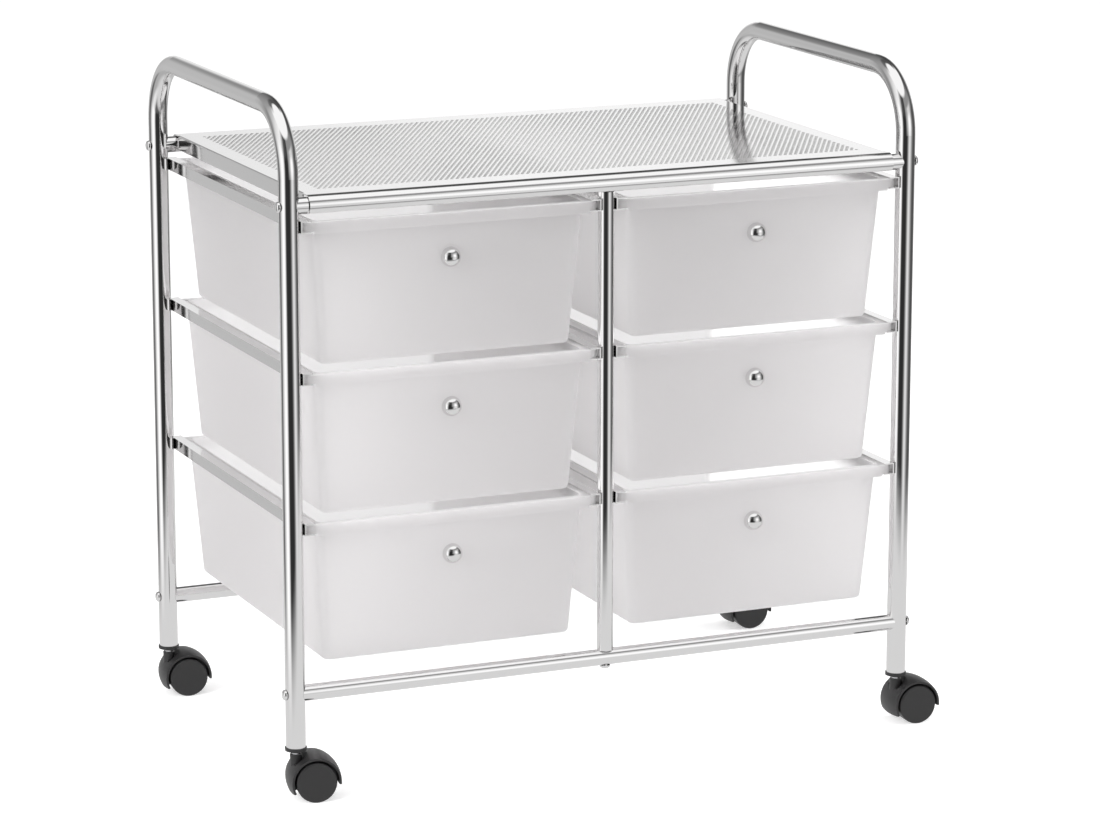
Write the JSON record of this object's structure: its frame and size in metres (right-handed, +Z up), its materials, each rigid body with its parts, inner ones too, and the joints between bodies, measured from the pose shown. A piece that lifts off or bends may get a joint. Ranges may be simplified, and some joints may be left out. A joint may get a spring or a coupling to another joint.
{
  "type": "rolling drawer cart",
  "caption": "Chrome tube cart on swivel casters, with a perforated tray top between handle bars and columns of translucent plastic drawers that slide out on channel runners.",
  "frame": {"origin": "on the floor below the middle of the four posts", "axes": "+Z up, +X to the right seen from the front, +Y to the back; drawers open towards -Y"},
  "size_m": [0.6758, 0.414, 0.6492],
  "materials": {
    "chrome": "polished chrome plate",
    "steel": "zinc plated",
    "drawer_plastic": "frosted translucent",
    "black_plastic": "moulded, fine texture"
  },
  "bodies": {
    "frame": {"left_side_tube": "chrome", "right_side_tube": "chrome", "top_front_rail": "chrome", "top_back_rail": "chrome", "bottom_front_rail": "chrome", "bottom_back_rail": "chrome", "front_centre_post": "chrome", "back_centre_post": "chrome", "top_tray": "chrome", "bottom_left_outer_runner": "chrome", "bottom_left_inner_runner": "chrome", "bottom_right_outer_runner": "chrome", "bottom_right_inner_runner": "chrome", "middle_left_outer_runner": "chrome", "middle_left_inner_runner": "chrome", "middle_right_outer_runner": "chrome", "middle_right_inner_runner": "chrome", "top_left_outer_runner": "chrome", "top_left_inner_runner": "chrome", "top_right_outer_runner": "chrome", "top_right_inner_runner": "chrome", "frame_screws": "chrome", "thread_inserts": "steel", "caster_sockets": "black_plastic", "caster_stems": "steel", "stem_clips": "steel"},
    "bottom_left_drawer_body": {"bottom_left_drawer": "drawer_plastic", "bottom_left_knob": "chrome", "bottom_left_knob_screw": "steel"},
    "bottom_right_drawer_body": {"bottom_right_drawer": "drawer_plastic", "bottom_right_knob": "chrome", "bottom_right_knob_screw": "steel"},
    "middle_left_drawer_body": {"middle_left_drawer": "drawer_plastic", "middle_left_knob": "chrome", "middle_left_knob_screw": "steel"},
    "middle_right_drawer_body": {"middle_right_drawer": "drawer_plastic", "middle_right_knob": "chrome", "middle_right_knob_screw": "steel"},
    "top_left_drawer_body": {"top_left_drawer": "drawer_plastic", "top_left_knob": "chrome", "top_left_knob_screw": "steel"},
    "top_right_drawer_body": {"top_right_drawer": "drawer_plastic", "top_right_knob": "chrome", "top_right_knob_screw": "steel"},
    "front_left_swivel_body": {"front_left_caster_hood": "black_plastic", "front_left_caster_axle": "steel"},
    "front_left_front_wheel_body": {"front_left_caster_front_wheel": "black_plastic"},
    "front_left_back_wheel_body": {"front_left_caster_back_wheel": "black_plastic"},
    "front_right_swivel_body": {"front_right_caster_hood": "black_plastic", "front_right_caster_axle": "steel"},
    "front_right_front_wheel_body": {"front_right_caster_front_wheel": "black_plastic"},
    "front_right_back_wheel_body": {"front_right_caster_back_wheel": "black_plastic"},
    "back_left_swivel_body": {"back_left_caster_hood": "black_plastic", "back_left_caster_axle": "steel"},
    "back_left_front_wheel_body": {"back_left_caster_front_wheel": "black_plastic"},
    "back_left_back_wheel_body": {"back_left_caster_back_wheel": "black_plastic"},
    "back_right_swivel_body": {"back_right_caster_hood": "black_plastic", "back_right_caster_axle": "steel"},
    "back_right_front_wheel_body": {"back_right_caster_front_wheel": "black_plastic"},
    "back_right_back_wheel_body": {"back_right_caster_back_wheel": "black_plastic"}
  },
  "joints": [
    {"name": "bottom_left_drawer_slide", "type": "slide", "parent": "frame", "child": "bottom_left_drawer_body", "axis": [0, -1, 0], "range_m": [0, 0.28]},
    {"name": "bottom_right_drawer_slide", "type": "slide", "parent": "frame", "child": "bottom_right_drawer_body", "axis": [0, -1, 0], "range_m": [0, 0.28]},
    {"name": "middle_left_drawer_slide", "type": "slide", "parent": "frame", "child": "middle_left_drawer_body", "axis": [0, -1, 0], "range_m": [0, 0.28]},
    {"name": "middle_right_drawer_slide", "type": "slide", "parent": "frame", "child": "middle_right_drawer_body", "axis": [0, -1, 0], "range_m": [0, 0.28]},
    {"name": "top_left_drawer_slide", "type": "slide", "parent": "frame", "child": "top_left_drawer_body", "axis": [0, -1, 0], "range_m": [0, 0.28]},
    {"name": "top_right_drawer_slide", "type": "slide", "parent": "frame", "child": "top_right_drawer_body", "axis": [0, -1, 0], "range_m": [0, 0.28]},
    {"name": "front_left_swivel", "type": "hinge", "parent": "frame", "child": "front_left_swivel_body", "pos_m": [-0.31125, -0.1855, 0.05], "axis": [0, 0, 1], "continuous": true},
    {"name": "front_left_front_wheel_spin", "type": "hinge", "parent": "front_left_swivel_body", "child": "front_left_front_wheel_body", "pos_m": [-0.29545, -0.188, 0.019], "axis": [0.1564, 0.9877, 0], "continuous": true},
    {"name": "front_left_back_wheel_spin", "type": "hinge", "parent": "front_left_swivel_body", "child": "front_left_back_wheel_body", "pos_m": [-0.29545, -0.188, 0.019], "axis": [0.1564, 0.9877, 0], "continuous": true},
    {"name": "front_right_swivel", "type": "hinge", "parent": "frame", "child": "front_right_swivel_body", "pos_m": [0.31125, -0.1855, 0.05], "axis": [0, 0, 1], "continuous": true},
    {"name": "front_right_front_wheel_spin", "type": "hinge", "parent": "front_right_swivel_body", "child": "front_right_front_wheel_body", "pos_m": [0.32724, -0.18606, 0.019], "axis": [0.0349, 0.9994, 0], "continuous": true},
    {"name": "front_right_back_wheel_spin", "type": "hinge", "parent": "front_right_swivel_body", "child": "front_right_back_wheel_body", "pos_m": [0.32724, -0.18606, 0.019], "axis": [0.0349, 0.9994, 0], "continuous": true},
    {"name": "back_left_swivel", "type": "hinge", "parent": "frame", "child": "back_left_swivel_body", "pos_m": [-0.31125, 0.1855, 0.05], "axis": [0, 0, 1], "continuous": true},
    {"name": "back_left_front_wheel_spin", "type": "hinge", "parent": "back_left_swivel_body", "child": "back_left_front_wheel_body", "pos_m": [-0.29531, 0.18411, 0.019], "axis": [0.0872, 0.9962, 0], "continuous": true},
    {"name": "back_left_back_wheel_spin", "type": "hinge", "parent": "back_left_swivel_body", "child": "back_left_back_wheel_body", "pos_m": [-0.29531, 0.18411, 0.019], "axis": [0.0872, 0.9962, 0], "continuous": true},
    {"name": "back_right_swivel", "type": "hinge", "parent": "frame", "child": "back_right_swivel_body", "pos_m": [0.31125, 0.1855, 0.05], "axis": [0, 0, 1], "continuous": true},
    {"name": "back_right_front_wheel_spin", "type": "hinge", "parent": "back_right_swivel_body", "child": "back_right_front_wheel_body", "pos_m": [0.32724, 0.18494, 0.019], "axis": [0.0349, 0.9994, 0], "continuous": true},
    {"name": "back_right_back_wheel_spin", "type": "hinge", "parent": "back_right_swivel_body", "child": "back_right_back_wheel_body", "pos_m": [0.32724, 0.18494, 0.019], "axis": [0.0349, 0.9994, 0], "continuous": true}
  ]
}
